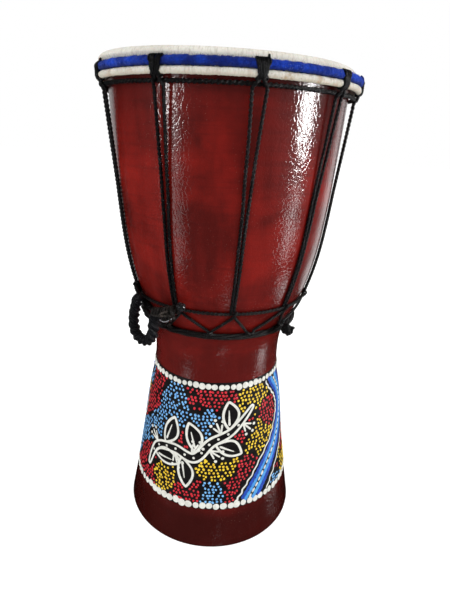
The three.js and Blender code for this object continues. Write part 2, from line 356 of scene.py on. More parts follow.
class Finish:
    """A node material, put together step by step."""

    def __init__(self, name, **constants):
        self.material = bpy.data.materials.new(name)
        self.material.use_nodes = True
        self.tree = self.material.node_tree
        self.shader = next(n for n in self.tree.nodes if n.type == "BSDF_PRINCIPLED")
        for socket, value in constants.items():
            self.shader.inputs[socket.replace("_", " ")].default_value = value
        self.place = self.node("ShaderNodeTexCoord").outputs["Object"]

    def node(self, kind, inputs=None, **settings):
        node = self.tree.nodes.new(kind)
        for key, value in settings.items():
            setattr(node, key, value)
        for key, value in (inputs or {}).items():
            if isinstance(value, bpy.types.NodeSocket):
                self.tree.links.new(value, node.inputs[key])
            else:
                node.inputs[key].default_value = value
        return node

    def stretched(self, x, y, z, vector=None):
        inputs = {"Vector": vector or self.place, "Scale": (x, y, z)}
        return self.node("ShaderNodeMapping", inputs).outputs[0]

    def polar(self, radius):
        """The place as (way round times radius, distance from the axis, height)."""
        x, y = self.coordinate("X"), self.coordinate("Y")
        turn = self.times(self.sums(x, self.times(y, -1), "ARCTAN2"), radius)
        level = {0: self.stretched(1, 1, 0)}
        away = self.node("ShaderNodeVectorMath", level, operation="LENGTH").outputs["Value"]
        return self.node("ShaderNodeCombineXYZ", {0: turn, 1: away, 2: self.coordinate("Z")}).outputs[0]

    def noise(self, scale, detail=4, rough=0.55, distort=0.0, vector=None):
        inputs = {"Scale": scale, "Detail": detail, "Roughness": rough, "Distortion": distort}
        inputs["Vector"] = vector or self.place
        return self.node("ShaderNodeTexNoise", inputs).outputs["Fac"]

    def cells(self, scale, vector=None, feature="F1", output="Distance"):
        inputs = {"Scale": scale, "Vector": vector or self.place}
        return self.node("ShaderNodeTexVoronoi", inputs, feature=feature).outputs[output]

    def span(self, value, low, high, to_low=0.0, to_high=1.0):
        inputs = {"Value": value, "From Min": low, "From Max": high, "To Min": to_low, "To Max": to_high}
        return self.node("ShaderNodeMapRange", inputs, clamp=True).outputs["Result"]

    def sums(self, a, b, operation="ADD"):
        return self.node("ShaderNodeMath", {0: a, 1: b}, operation=operation).outputs[0]

    def times(self, a, b):
        return self.sums(a, b, "MULTIPLY")

    def mix(self, factor, a, b):
        node = self.node("ShaderNodeMix", data_type="RGBA")
        for socket, value in ((node.inputs[0], factor), (node.inputs[6], a), (node.inputs[7], b)):
            if isinstance(value, bpy.types.NodeSocket):
                self.tree.links.new(value, socket)
            else:
                socket.default_value = value
        return node.outputs[2]

    def layers(self, colour, *rows):
        """Lays tints over a colour. Each row holds a value, where it starts and is full, how much
        of the tint it then gives, and the tint."""
        for value, start, full, amount, tint in rows:
            colour = self.mix(self.span(value, start, full, 0, amount), colour, tint)
        return colour

    def coordinate(self, letter):
        return self.node("ShaderNodeSeparateXYZ", {0: self.place}).outputs[letter]

    def bump(self, height, distance, strength=1.0, under=None):
        inputs = {"Height": height, "Distance": distance, "Strength": strength}
        if under is not None:
            inputs["Normal"] = under
        return self.node("ShaderNodeBump", inputs).outputs[0]

    def finished(self, **values):
        """Plugs values into the shader's sockets and gives the material."""
        for socket, value in values.items():
            self.tree.links.new(value, self.shader.inputs[socket.replace("_", " ")])
        return self.material


def rgb(red, green, blue):
    """A colour given as it looks on a screen, 0 to 255."""
    linear = []
    for c in (red, green, blue):
        linear.append((c / 255) / 12.92 if c <= 10 else ((c / 255 + 0.055) / 1.055) ** 2.4)
    return (*linear, 1.0)


def lacquered_wood():
    """Red stain, streaked and blotched, under a clear coat that is not quite even."""
    f = Finish("lacquered_red_wood", Coat_Weight=1.0, Coat_Roughness=0.05, Coat_IOR=1.5,
               Specular_IOR_Level=0.08)
    height = f.coordinate("Z")
    streaks = f.noise(9, 6, 0.6, 0.4, f.stretched(6, 6, 0.7))
    rings = f.noise(30, 3, 0.5, 0.0, f.stretched(0.4, 0.4, 7))
    blotch = f.noise(9, 4, 0.6, 0.3, f.stretched(1, 1, 1.6))
    cloud = f.noise(23, 3, 0.5, 0.5)
    grain = f.noise(26, 4, 0.6, 0.2, f.stretched(0.5, 0.5, 9))
    neck = f.times(f.span(height, 0.262, 0.25), f.span(blotch, 0.3, 0.6, 0.9, 0.3))
    chips = f.times(f.span(f.cells(95), 0.035, 0.02), f.span(f.noise(5), 0.6, 0.63))
    specks = f.times(f.span(f.cells(420), 0.12, 0.07), f.span(f.noise(12, 2), 0.51, 0.62))
    colour = f.mix(f.span(streaks, 0.35, 0.68), rgb(78, 12, 8), rgb(110, 17, 11))
    colour = f.layers(
        colour,
        (rings, 0.4, 0.75, 0.4, rgb(76, 11, 9)),
        (blotch, 0.46, 0.7, 0.7, rgb(144, 23, 14)),
        (cloud, 0.5, 0.75, 0.4, rgb(78, 11, 9)),
        (grain, 0.52, 0.72, 0.35, rgb(66, 10, 8)),
        # Darker towards the top, under the head ring: painted shade.
        (height, 0.43, 0.485, 0.65, rgb(52, 14, 13)),
        (neck, 0, 1, 1, rgb(84, 14, 10)),
        (height, 0.062, 0.035, 0.85, rgb(52, 9, 6)),
        (chips, 0, 1, 1, rgb(214, 196, 176)),
        (specks, 0, 1, 0.45, rgb(196, 150, 134)),
    )
    peel = f.bump(f.noise(760, 3, 0.6, 0.2), 0.00009)
    crackle = f.cells(260, feature="DISTANCE_TO_EDGE")
    normal = f.bump(f.span(crackle, 0.0, 0.16), 0.00006, under=peel)
    normal = f.bump(f.noise(60, 2, 0.5), 0.0003, under=normal)
    rough = f.span(streaks, 0.3, 0.7, 0.42, 0.56)
    return f.finished(Base_Color=colour, Roughness=rough, Normal=normal, Coat_Normal=normal)


def band_paint():
    f = Finish("black_band_paint", Roughness=0.5, Specular_IOR_Level=0.2)
    brush = f.noise(60, 5, 0.6, 0.2, f.stretched(1, 1, 3))
    colour = f.mix(f.span(brush, 0.35, 0.7), rgb(14, 12, 13), rgb(30, 27, 28))
    return f.finished(Base_Color=colour, Normal=f.bump(f.noise(420, 4), 0.00018, under=f.bump(brush, 0.0003)))


def dot_paint(name, colour, darker, gloss=0.38):
    f = Finish(name, Roughness=gloss, Specular_IOR_Level=0.45)
    colour = f.mix(f.span(f.noise(170, 3, 0.6), 0.35, 0.65), darker, colour)
    return f.finished(Base_Color=colour, Normal=f.bump(f.noise(900, 3), 0.00012))


def goat_skin():
    """Scraped hide: pale, finely ribbed outwards, with hair roots on the roll."""
    f = Finish("goat_skin", Specular_IOR_Level=0.25, Subsurface_Weight=0.1, Subsurface_Scale=0.002)
    height = f.coordinate("Z")
    mottle = f.noise(30, 6, 0.6, 0.5)
    ribs = f.noise(700, 3, 0.6, 0.4, f.stretched(1, 0.12, 0.3, f.polar(0.12)))
    patch = f.times(f.span(f.noise(17, 3, 0.5, 0.2), 0.46, 0.6), f.span(height, 0.4885, 0.4865))
    stain = f.times(patch, f.span(f.noise(150, 4, 0.7), 0.5, 0.62))
    pores = f.times(f.span(f.cells(480), 0.2, 0.1), patch)
    colour = f.mix(f.span(mottle, 0.35, 0.7), rgb(204, 200, 190), rgb(222, 219, 211))
    colour = f.layers(
        colour,
        (ribs, 0.48, 0.66, 0.7, rgb(176, 170, 156)),
        (f.noise(16, 4, 0.6, 0.5), 0.58, 0.7, 0.2, rgb(196, 182, 172)),
        # Darker on the underside of the roll: painted shade.
        (height, 0.4862, 0.4812, 0.8, rgb(150, 140, 120)),
        (stain, 0, 1, 0.55, rgb(150, 112, 66)),
        (pores, 0, 1, 0.75, rgb(96, 66, 40)),
    )
    normal = f.bump(ribs, 0.0005, under=f.bump(f.noise(90, 4), 0.0006))
    return f.finished(Base_Color=colour, Roughness=f.span(mottle, 0.3, 0.7, 0.6, 0.8), Normal=normal)


def blue_cloth():
    f = Finish("blue_cotton", Roughness=0.95, Specular_IOR_Level=0.1, Sheen_Weight=0.12,
               Sheen_Roughness=0.5, Sheen_Tint=(0.4, 0.5, 1.0, 1.0))
    weave = f.noise(800, 3, 0.7, 0.0)
    lint = f.times(f.span(f.cells(620), 0.2, 0.1), f.span(f.noise(26, 2), 0.5, 0.58))
    colour = f.mix(f.span(f.noise(60, 4, 0.6, 0.4), 0.35, 0.68), rgb(10, 30, 104), rgb(22, 64, 186))
    colour = f.layers(
        colour,
        (weave, 0.35, 0.75, 0.65, rgb(5, 14, 62)),
        # Darker navy on the lower half of the winding: painted shade.
        (f.coordinate("Z"), 0.4905, 0.4878, 0.65, rgb(6, 10, 50)),
        (lint, 0, 1, 0.6, rgb(122, 140, 200)),
    )
    return f.finished(Base_Color=colour, Normal=f.bump(weave, 0.0006, under=f.bump(f.noise(240, 4), 0.0009)))


def cord_finish(name, dark, lighter, dust_sheen_tint, dust_sheen_share, roughness=0.5):
    """Black polyester cord: fine yarns, worn patches tinted by dirt and painted sheen (more where
    dust_sheen_share is high), and painted glints.
    """
    f = Finish(name, Specular_IOR_Level=0.38)
    yarn = f.noise(1500, 3, 0.75, 0.3)
    wear_and_sheen = f.noise(75, 5, 0.65, 0.3)
    # Pale flecks: painted glints of light.
    painted_glints = f.times(f.span(f.cells(560), 0.26, 0.12), f.span(f.noise(120, 3), 0.5, 0.62))
    colour = f.layers(
        f.mix(f.span(yarn, 0.35, 0.72), dark, lighter),
        # Worn patches tinted partly by dirt, partly with painted sheen.
        (wear_and_sheen, 0.64 - dust_sheen_share, 0.84 - dust_sheen_share, 0.8, dust_sheen_tint),
        (painted_glints, 0, 1, 0.6, rgb(120, 120, 126)),
    )
    rough = f.span(wear_and_sheen, 0.3, 0.7, roughness - 0.08, roughness + 0.12)
    return f.finished(Base_Color=colour, Roughness=rough, Normal=f.bump(yarn, 0.0007))


def melted_plastic():
    f = Finish("melted_cord_end", Specular_IOR_Level=0.6, Coat_Weight=0.6, Coat_Roughness=0.12)
    lumps = f.noise(320, 3, 0.5, 0.2)
    colour = f.mix(f.span(lumps, 0.35, 0.7), rgb(12, 12, 13), rgb(46, 45, 47))
    rough = f.span(lumps, 0.3, 0.7, 0.16, 0.34)
    return f.finished(Base_Color=colour, Roughness=rough, Normal=f.bump(lumps, 0.0007))


def bright_steel():
    f = Finish("hoop_steel", Metallic=1.0)
    drawn = f.noise(500, 4, 0.6, 0.0, f.stretched(0.3, 0.3, 4))
    colour = f.mix(f.span(drawn, 0.3, 0.7), rgb(120, 122, 126), rgb(168, 170, 174))
    rough = f.span(drawn, 0.3, 0.7, 0.28, 0.45)
    return f.finished(Base_Color=colour, Roughness=rough, Normal=f.bump(drawn, 0.0002))


# ---------------------------------------------------------------- camera, handle cord

def make_camera():
    data = bpy.data.cameras.new("camera")
    data.lens = CAMERA_LENS
    data.sensor_width = CAMERA_SENSOR
    data.clip_start = 0.01
    data.clip_end = 100
    camera = bpy.data.objects.new("camera", data)
    aim = Matrix.Rotation(math.radians(CAMERA_TURN), 4, "Z")
    aim = aim @ Matrix.Rotation(math.radians(90 - CAMERA_LOOKS_DOWN), 4, "X")
    aim = aim @ Matrix.Rotation(math.radians(CAMERA_ROLL), 4, "Z")
    camera.matrix_world = Matrix.Translation(CAMERA_PLACE) @ aim
    bpy.context.scene.collection.objects.link(camera)
    bpy.context.scene.camera = camera


def handle_line():
    """Where the handle's swinging line starts, the way along it, and the way down from it."""
    start = around(*HANDLE_UPPER)
    along = unit(around(*HANDLE_LOWER) - start)
    down = np.array([0.0, 0.0, -1.0])
    down = unit(down - along * np.dot(down, along))
    return start, along, down


def carry_handle(material):
    start, along, down = handle_line()
    route = np.array([start + along * a + down * d for a, d in HANDLE_ROUTE])
    fine = spline(route, 400)

    def lumpy(share):
        """Thicker and more uneven along the leg that ends at the knot."""
        right_leg = np.clip((share - 0.62) / 0.08, 0, 1)
        return 1 + right_leg * (0.05 + 0.07 * np.sin(share * 60)) + 0.02 * np.sin(share * 37)

    bundle = Bundle()
    rope(bundle, fine, HANDLE_RADIUS + 0.0005, np.cross(along, down), lay=0.021, groove=0.28, sides=27,
         step=0.0005, swell=lumpy)
    piece = bundle.piece("handle_rope", material)
    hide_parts("carry_handle")
    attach(piece, "handle")


def settle(bundle, name, material, body, slot, *nodes):
    """Makes one piece of a bundle, with its body and the CAD nodes it stands for. slot is not used."""
    piece = bundle.piece(name, material)
    if nodes:
        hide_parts(*nodes)
    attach(piece, body)


# ---------------------------------------------------------------- shell, skin, crown

def arc(centre_radius, centre_height, radius, start, end, steps):
    turn = np.radians(np.linspace(start, end, steps + 1))
    return np.stack([centre_radius + radius * np.cos(turn), centre_height + radius * np.sin(turn)], axis=1)


def shell(material):
    top = EDGE_HEIGHT + EDGE_ROUNDING
    outline = np.vstack([
        [(FOOT_RIM_RADIUS - 0.004, 0), (FOOT_RIM_RADIUS, 0), (0.1011, 0.0004)],
        spline(OUTER_OUTLINE, 150),
        arc(EDGE_RADIUS, EDGE_HEIGHT, EDGE_ROUNDING, 12, 90, 8),
        [(0.1085, top - 0.0012)],
        spline(INNER_OUTLINE, 60)[::-1],
        [(0.091, 0), (0.094, 0)],
    ])
    bundle = Bundle()
    turned(bundle, outline, 288)
    settle(bundle, "turned_shell", material, "drum", "shell_wood", "shell")


def raised_edge(angle, radius, height):
    """How far out and up the head's shoulder is drawn at the drum's left, where the edge is uneven."""
    off = (angle - RAISED_AT + 180) % 360 - 180
    side = np.cos(np.radians(np.clip(off / RAISED_SPREAD, -90, 90))) ** 2
    rim = np.clip(radius / EDGE_RADIUS, 0, 1) ** 1.5
    up = RAISED_UP * side * np.clip((height - 0.4885) / 0.006, 0, 1) * rim
    shoulder = np.clip((radius - 0.09) / 0.02, 0, 1)
    out = RAISED_OUT * side * np.clip((height - 0.4925) / 0.004, 0, 1) * shoulder
    return out, up


PUCKER_WAVES = (9, 23, 41, 67, 113, 151, 197)
PUCKER_DEPTH = 0.0004


def drum_skin(material):
    face = EDGE_ROUNDING + GAP + SKIN_THICKNESS
    back = EDGE_ROUNDING + GAP
    outline = np.vstack([
        [(r, HEIGHT) for r in np.linspace(0, 0.108, 16)],
        arc(EDGE_RADIUS, EDGE_HEIGHT, face, 90, 0, 12),
        [(EDGE_RADIUS + face, 0.4915), (EDGE_RADIUS + face, COLLAR_BOTTOM)],
        arc(FLESH_RADIUS, FLESH_HEIGHT, FLESH_BORE, 150, 455, 20),
        arc(FLESH_RADIUS, FLESH_HEIGHT, FLESH_WRAP, 455, 165, 34),
        [(EDGE_RADIUS + back, COLLAR_BOTTOM - 0.0004), (EDGE_RADIUS + back, 0.4911)],
        arc(EDGE_RADIUS, EDGE_HEIGHT, back, 0, 90, 6),
        [(r, HEIGHT - SKIN_THICKNESS) for r in np.linspace(0.108, 0, 8)],
    ])[::-1]
    waves = [(k, dice.random() * 6, dice.random()) for k in PUCKER_WAVES]

    def puckers(angle, radius, height):
        from_roll = np.hypot(radius - FLESH_RADIUS, height - FLESH_HEIGHT)
        on_roll = np.clip((from_roll - FLESH_BORE - 0.0004) / 0.0005, 0, 1) * (from_roll < 0.0033)
        turn = np.radians(angle)
        total = sum(np.sin(k * turn + p + 900 * height * s) for k, p, s in waves) / len(waves)
        swell = on_roll * (PUCKER_DEPTH * total + 0.0001 * np.sin(260 * turn + 2400 * height))
        out, up = raised_edge(angle, radius, height)
        out = swell * (radius - FLESH_RADIUS) / 0.0027 + out
        up = swell * (height - FLESH_HEIGHT) / 0.0027 + up
        return out, up

    bundle = Bundle()
    turned(bundle, outline, 900, puckers)
    piece = bundle.piece("goat_skin_head", material)
    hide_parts("drum_skin")
    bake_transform(piece)


def crown_wrap(material):
    """Cloth strips wound slantwise round the crown hoop, each lapping the last."""
    steps, sides, turns = 1500, 36, 58
    angle = np.linspace(0, 360, steps, endpoint=False)
    phi = np.linspace(0, 2 * math.pi, sides, endpoint=False)
    spacing = 0.22 * (np.sin(np.radians(angle) * 7) + np.sin(np.radians(angle) * 13 + 1))
    strip = (turns * angle / 360 + spacing)[:, None] - 1.4 * phi[None, :] / (2 * math.pi)
    lap = np.mod(strip, 1.0)
    ridge = np.clip(lap / 0.9, 0, 1) ** 0.7 * np.clip((1 - lap) / 0.1, 0, 1)
    crumple = np.sin(np.radians(angle)[:, None] * 149 + 2 * phi[None, :])
    crumple = crumple + np.sin(np.radians(angle)[:, None] * 83 - 3 * phi[None, :] + 2)
    pile = dice.normal(0, 0.00007, (steps, sides))
    size = CROWN_WRAP - 0.0003 + 0.0006 * ridge + 0.00013 * crumple + pile
    radius = CROWN_RADIUS + size * np.cos(phi)
    height = CROWN_HEIGHT + 0.97 * size * np.sin(phi)
    bundle = Bundle()
    bundle.add(around(radius, angle[:, None], height), grid_faces(steps, sides, rows_close=True))
    settle(bundle, "cloth_winding", material, "head_ring", "blue_cloth", "crown_wrap")


def crown_fuzz(material):
    """Loose threads that stand off the cloth, thickest along its top."""
    bundle = Bundle()
    threads = 3600
    for k in range(threads):
        angle = dice.uniform(0, 360)
        phi = math.radians(dice.normal(95, 22) if k % 2 else dice.uniform(-70, 150))
        radius = CROWN_RADIUS + CROWN_WRAP * math.cos(phi)
        root = around(radius, angle, CROWN_HEIGHT + CROWN_WRAP * math.sin(phi))
        _, ring = level_ways(angle)
        normal = outward(root) * math.cos(phi) + np.array([0, 0, math.sin(phi)])
        way = normal * dice.uniform(0.2, 0.9) + ring * dice.normal() * 0.8 + np.array([0, 0, 0.25])
        needle(bundle, root, way, dice.uniform(0.0006, 0.0017), 0.00011, dice.normal(0, 0.0004, 3))
    settle(bundle, "cloth_threads", material, "head_ring", "blue_cloth")


def cloth_flap(material):
    """The strip's free end, tucked under itself at the right and standing up a little."""
    bundle = Bundle()
    across, along = 14, 12
    thickness = 0.0006
    points = np.zeros((2, across, along, 3))
    for i in range(across):
        for j in range(along):
            u, v = i / (across - 1), j / (along - 1)
            angle = 74 + 5.5 * u + 1.2 * v
            lift = 0.0004 + 0.0026 * v**1.5 + 0.0005 * math.sin(7 * u + 3 * v)
            phi = math.radians(20 + 62 * v)
            radius = CROWN_RADIUS + (CROWN_WRAP + lift) * math.cos(phi)
            height = CROWN_HEIGHT + (CROWN_WRAP + lift) * math.sin(phi) + 0.0003 * math.sin(19 * u)
            outer = around(radius, angle, height)
            points[0, i, j] = outer
            points[1, i, j] = outer - thickness * outward(outer)
    sheet = grid_faces(across, along, columns_close=False)
    count = across * along
    bundle.add(points, [f[::-1] for f in sheet] + [[v + count for v in f] for f in sheet]
               + rim_faces(across, along, count))
    settle(bundle, "cloth_strip_end", material, "head_ring", "blue_cloth")


def rim_faces(rows, columns, offset):
    """Faces that join the edges of two stacked grids."""
    edge = list(range(columns))
    edge += [i * columns + columns - 1 for i in range(1, rows)]
    edge += [(rows - 1) * columns + j for j in range(columns - 2, -1, -1)]
    edge += [i * columns for i in range(rows - 2, 0, -1)]
    faces = []
    for a, b in zip(edge, edge[1:] + edge[:1]):
        faces.append([a, b, b + offset, a + offset])
    return faces


# ---------------------------------------------------------------- lacing

LOOP_STRANDS, LOOP_STRAND, LOOP_FIBRES = 7, 0.00125, 60
# How far apart a loop's strands run, at places from its top (0) to its lower end (1)
LOOP_PLACES = (0, 0.06, 0.15, 0.3, 0.48, 0.56, 0.64, 0.74, 1)
LOOP_PITCHES = (0.0015, 0.002, 0.0023, 0.0023, 0.0022, 0.0016, 0.0012, 0.0016, 0.0021)


def crown_loop(number, angle, material):
    """Strands of cord that hook over both hoops, sink into the cloth and bunch below it."""
    route = np.vstack([
        arc(CROWN_RADIUS, CROWN_HEIGHT, CROWN_WRAP + 0.0001, 106, -18, 12),
        arc(FLESH_RADIUS, FLESH_HEIGHT, FLESH_WRAP + 0.0007, 8, -128, 10),
    ])
    out, ring = level_ways(angle)
    share = np.linspace(0, 1, len(route))
    pitch = np.interp(share, LOOP_PLACES, LOOP_PITCHES)
    lean = dice.normal(0, 0.0005)
    bundle = Bundle()
    for k in range(LOOP_STRANDS):
        width = (k - LOOP_STRANDS // 2 + dice.normal(0, 0.2)) * 0.68 * pitch + lean * (share - 0.5) * 2
        width = width + smooth_noise(len(route), 4, 0.00045)
        lift = 0.0004 * share * (k % 2) + smooth_noise(len(route), 3, 0.00018)
        points = out * (route[:, :1] + lift[:, None]) + ring * width[:, None]
        points[:, 2] += route[:, 1]
        rope(bundle, points, LOOP_STRAND, ring, lay=0.006, groove=0.3, samples=60)
    tuft, rise = (2.8, 0.0028) if number % 4 == 1 else (-1.7, 0.0007)
    root = out * (CROWN_RADIUS + 0.0006) + ring * (tuft * pitch[0])
    root = root + np.array([0, 0, CROWN_HEIGHT + CROWN_WRAP])
    tip = root + ring * 0.0006 + np.array([0, 0, rise])
    rope(bundle, [root, root + np.array([0, 0, 0.5 * rise]), tip], 0.0013, ring, samples=12, step=0.0004)
    for _ in range(LOOP_FIBRES):
        t = dice.integers(0, 14)
        side = dice.choice([-1, 1])
        edge = out * (route[t, 0] + 0.0005) + ring * side * 2.4 * pitch[t]
        edge[2] += route[t, 1]
        way = ring * side * dice.uniform(0.2, 1) + out * dice.uniform(0, 0.6)
        way = way + np.array([0, 0, dice.normal(0.3, 0.5)])
        needle(bundle, edge, way, dice.uniform(0.0006, 0.0014), 0.0001, dice.normal(0, 0.0003, 3))
    settle(bundle, f"crown_loop_strands_{number}", material, "head_ring", "black_cord",
           f"crown_loop_{number}")


def vertical_radius(height):
    """Taut and straight from the crown loop to where the run meets the bowl, then lying on it."""
    touching = lying_radius(VERTICAL_TOUCHES, CORD_RADIUS)
    above = np.clip((height - VERTICAL_TOUCHES) / (VERTICAL_TOP - VERTICAL_TOUCHES), 0, 1)
    straight = touching + (VERTICAL_TOP_RADIUS - touching) * above
    lying = lying_radius(height, CORD_RADIUS)
    return np.where(above > 0, np.maximum(lying, straight), lying)


# Half the angle between the two legs where they touch, and the height where their lean ends
LEGS_TOUCH, LEAN_ENDS = 0.83, 0.2865


def station_angle(number):
    return FIRST_STATION + STATION_STEP * (number - 1) + LACING[number - 1][0]


def vertical_angle(number, share, side):
    """The legs draw together on their way down until they touch."""
    top, power = (2.8, 2.4) if number == 1 else (2.1, 1.5)
    spread = LEGS_TOUCH + (top - LEGS_TOUCH) * (1 - share) ** power
    return station_angle(number) + LACING[number - 1][1] * share + side * spread


def vertical_cords(number, material):
    """One leg on each side: out of the crown loop, over the top cord, then down the bowl."""
    station = station_angle(number)
    steps = 40
    height = np.linspace(0.4742, LOWER_CORD_HEIGHT + CORD_RADIUS, steps)
    share = np.clip((VERTICAL_TOP - height) / (VERTICAL_TOP - LEAN_ENDS), 0, 1)
    over = TOP_CORD_RING + TOP_CORD_RADIUS + CORD_RADIUS
    for name, side in (("left", -1), ("right", 1)):
        wander = smooth_noise(steps, 4, 0.12) * np.sin(math.pi * share)
        angle = vertical_angle(number, share, side) + wander
        top_angle = vertical_angle(number, 0.0, side)
        top = [
            around(0.1218, station + side * 0.5, 0.4822),
            around(over + 0.0006, 0.6 * station + 0.4 * top_angle, 0.4797),
            around(over + 0.0001, 0.25 * station + 0.75 * top_angle, 0.4772),
        ]
        points = np.vstack([top, around(vertical_radius(height), angle, height)])
        bundle = Bundle()
        rope(bundle, points, 0.0017, strands=2, lay=0.0075, groove=0.42, sides=14, samples=320)
        piece = bundle.piece(f"lacing_{number}_{name}", material)
        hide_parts(f"vertical_cord_{number}_{name}")
        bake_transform(piece)


def cradle_loop(number, left, apex, right, material):
    """Up from the waist ring, over the lower cord, and down again into the ring's cords."""
    top = LOWER_CORD_HEIGHT - 2 * CORD_RADIUS - 2 * GAP
    foot = WAIST_HEIGHT + 0.0062
    tuck = [(WAIST_RADIUS + out, WAIST_HEIGHT + up, slide) for out, up, slide in
            ((0.0002, 0.0019, 5.5), (0.0018, 0.0027, 3.6), (0.0035, 0.0041, 1.6))]
    points = [around(r, left - slide, z) for r, z, slide in tuck]
    steps = 6
    for i in range(-steps, steps + 1):
        share = abs(i) / steps
        at = left if i < 0 else right
        height = top + (foot - top) * share
        points.append(on_bowl(apex + (at - apex) * share, height, GAP))
    points += [around(r, right + slide, z) for r, z, slide in tuck][::-1]
    bundle = Bundle()
    rope(bundle, points, 0.0016, lay=0.007, samples=200)
    over = [on_bowl(apex + way, top + up, lift) for way, up, lift in
            ((-0.7, -0.001, 0.0003), (-0.5, 0.0022, 0.0026), (0.4, 0.0046, 0.003), (0.8, 0.0068, 0.0004))]
    rope(bundle, over, 0.0014, lay=0.007, samples=40)
    settle(bundle, f"cradle_cord_{number}", material, "drum", "black_cord", f"cradle_loop_{number}")


def ring_cord(name, node, radius, height, cord_radius, body, material, lay, wander):
    """A cord right round the drum, a little off its even place here and there."""
    steps = 720
    angle = np.linspace(0, 360, steps, endpoint=False)
    out = radius + np.abs(smooth_noise(steps, 12, wander, closed=True))
    up = height + smooth_noise(steps, 12, wander, closed=True)
    bundle = Bundle()
    rope(bundle, around(out, angle, up), cord_radius, closed=True, strands=2, lay=lay, groove=0.45, sides=14)
    settle(bundle, name, material, body, "black_cord", node)


def waist_winding(material):
    """Cords wound round the waist hoop at a long slant, so they seem to run along it."""
    angle = np.linspace(0, 360, 1200, endpoint=False)
    bundle = Bundle()
    count, turns, core = 5, 6, 0.0018
    for k in range(count):
        phi = 2 * math.pi * (k / count + turns * angle / 360) + 0.25 * np.sin(np.radians(angle) * 5 + k)
        points = around(WAIST_RADIUS + core * np.cos(phi), angle, WAIST_HEIGHT + core * np.sin(phi))
        rope(bundle, points, 0.0015, closed=True, lay=0.006, groove=0.3, sides=12)
    settle(bundle, "waist_cords", material, "drum", "black_cord", "bottom_wrap")


def lacing(black, worn):
    """All ten stations and the rings. The feet of the first two cradle loops stand further apart."""
    for i, (turn, _, apex, foot) in enumerate(LACING):
        previous_foot = LACING[i - 1][3]
        even = FIRST_STATION + STATION_STEP * i
        left = even - STATION_STEP / 2 + previous_foot + FOOT_CLEARANCE * (2 if i == 1 else 1)
        right = even + STATION_STEP / 2 + foot - FOOT_CLEARANCE * (2 if i == 0 else 1)
        crown_loop(i + 1, even + turn, black)
        vertical_cords(i + 1, black)
        cradle_loop(i + 1, left, even + apex, right, worn)
    ring_cord("top_ring_rope", "top_cord", TOP_CORD_RING, TOP_CORD_HEIGHT, TOP_CORD_RADIUS + 0.0004,
              "head_ring", black, 0.0088, 0.0003)
    ring_cord("lower_ring_rope", "lower_cord", lying_radius(LOWER_CORD_HEIGHT, CORD_RADIUS),
              LOWER_CORD_HEIGHT, CORD_RADIUS + 0.0003, "drum", worn, 0.0085, 0.00015)
    waist_winding(worn)


# ---------------------------------------------------------------- knots

def coil(bundle, start, way, length, core, cord_radius, turns, uneven=0.0):
    """Turns of cord side by side round a line."""
    way = unit(way)
    a = unit(np.cross(way, [0, 0, 1]))
    b = np.cross(way, a)
    count = int(40 * turns)
    t = np.linspace(0, 1, count)
    phi = 2 * math.pi * turns * t
    size = core + smooth_noise(count, 6, uneven)
    points = start + way * (length * t)[:, None]
    points = points + a * (size * np.cos(phi))[:, None] + b * (size * np.sin(phi))[:, None]
    rope(bundle, points, cord_radius, way, lay=0.006)


def wrapping(bundle, route, core, cord_radius, turns, uneven=0.0002):
    """Cord wound along a bending route."""
    fine = spline(route, int(36 * turns))
    tangent = along_route(fine)
    side = unit(np.cross(tangent, outward(fine)))
    up = np.cross(side, tangent)
    phi = np.linspace(0, 2 * math.pi * turns, len(fine))
    size = core + smooth_noise(len(fine), 6, uneven)
    points = fine + side * (size * np.cos(phi))[:, None] + up * (size * np.sin(phi))[:, None]
    rope(bundle, points, cord_radius, unit(fine[-1] - fine[0]), lay=0.006)


def blob(bundle, centre, size, lumps=0.12, rows=18, columns=24, facets=0.0):
    """A round lump with an uneven surface."""
    points = []
    for i in range(1, rows):
        polar = math.pi * i / rows
        for j in range(columns):
            turn = 2 * math.pi * j / columns
            out = math.sin(polar)
            way = np.array([out * math.cos(turn), out * math.sin(turn), math.cos(polar)])
            swell = 1 + lumps * math.sin(5 * way[0] + 3 * way[1]) * math.cos(4 * way[2] + 2 * way[0])
            swell += facets * (abs(math.sin(3 * turn + 2 * way[2])) - 0.5)
            points.append(centre + size * swell * way)
    points += [centre + np.array([0, 0, size]), centre - np.array([0, 0, size])]
    faces = grid_faces(rows - 1, columns) + cap_faces(rows - 1, columns)
    bundle.add(points, [face[::-1] for face in faces])


# Where the upper tie sits, and the cradle leg that is lashed from there down, as (angle, height)
TIE_ANGLE = -60.2
LASHED_LEG = [(-58.5, 0.2812), (-54, 0.277), (-49, 0.2725), (-43, 0.2672)]


def upper_tie(black):
    """Cord lashed round the vertical run and the cradle leg that carry the handle's upper end."""
    start, along, _ = handle_line()
    bundle = Bundle()
    leg = [on_bowl(TIE_ANGLE, z, 0.0009) for z in (0.2855, 0.289, 0.2925, 0.296)]
    wrapping(bundle, leg, 0.0023, 0.0014, 5)
    rope_end = start + along * HANDLE_ROUTE[0][0]
    for z, reach in ((0.294, -0.001), (0.291, 0.001), (0.288, 0.003)):
        knotted = on_bowl(TIE_ANGLE + 0.7, z, 0.003)
        middle = (knotted + rope_end) / 2 + np.array([0, 0, 0.002])
        rope(bundle, [knotted, middle, rope_end + along * reach], 0.0017, samples=24)
    wrapping(bundle, [on_bowl(angle, z, 0.0011) for angle, z in LASHED_LEG], 0.0018, 0.0014, 12)
    settle(bundle, "upper_tie", black, "drum", "black_cord", "handle_tie")


# The whipped knot: its middle as (angle, height), the turns under it and its pale thread
KNOT_MIDDLE = [(-36.5, 0.2782), (-32, 0.2802), (-27.5, 0.2825), (-23, 0.2862)]
KNOT_UNDERSIDE = [(0.1035, -30, 0.2742), (0.1038, -26.5, 0.2762), (0.103, -23.5, 0.2798)]
KNOT_THREAD = [
    (0.1058, -31.5, 0.2738), (0.1066, -29, 0.2732), (0.1062, -26.5, 0.2748), (0.1055, -24, 0.2782),
]


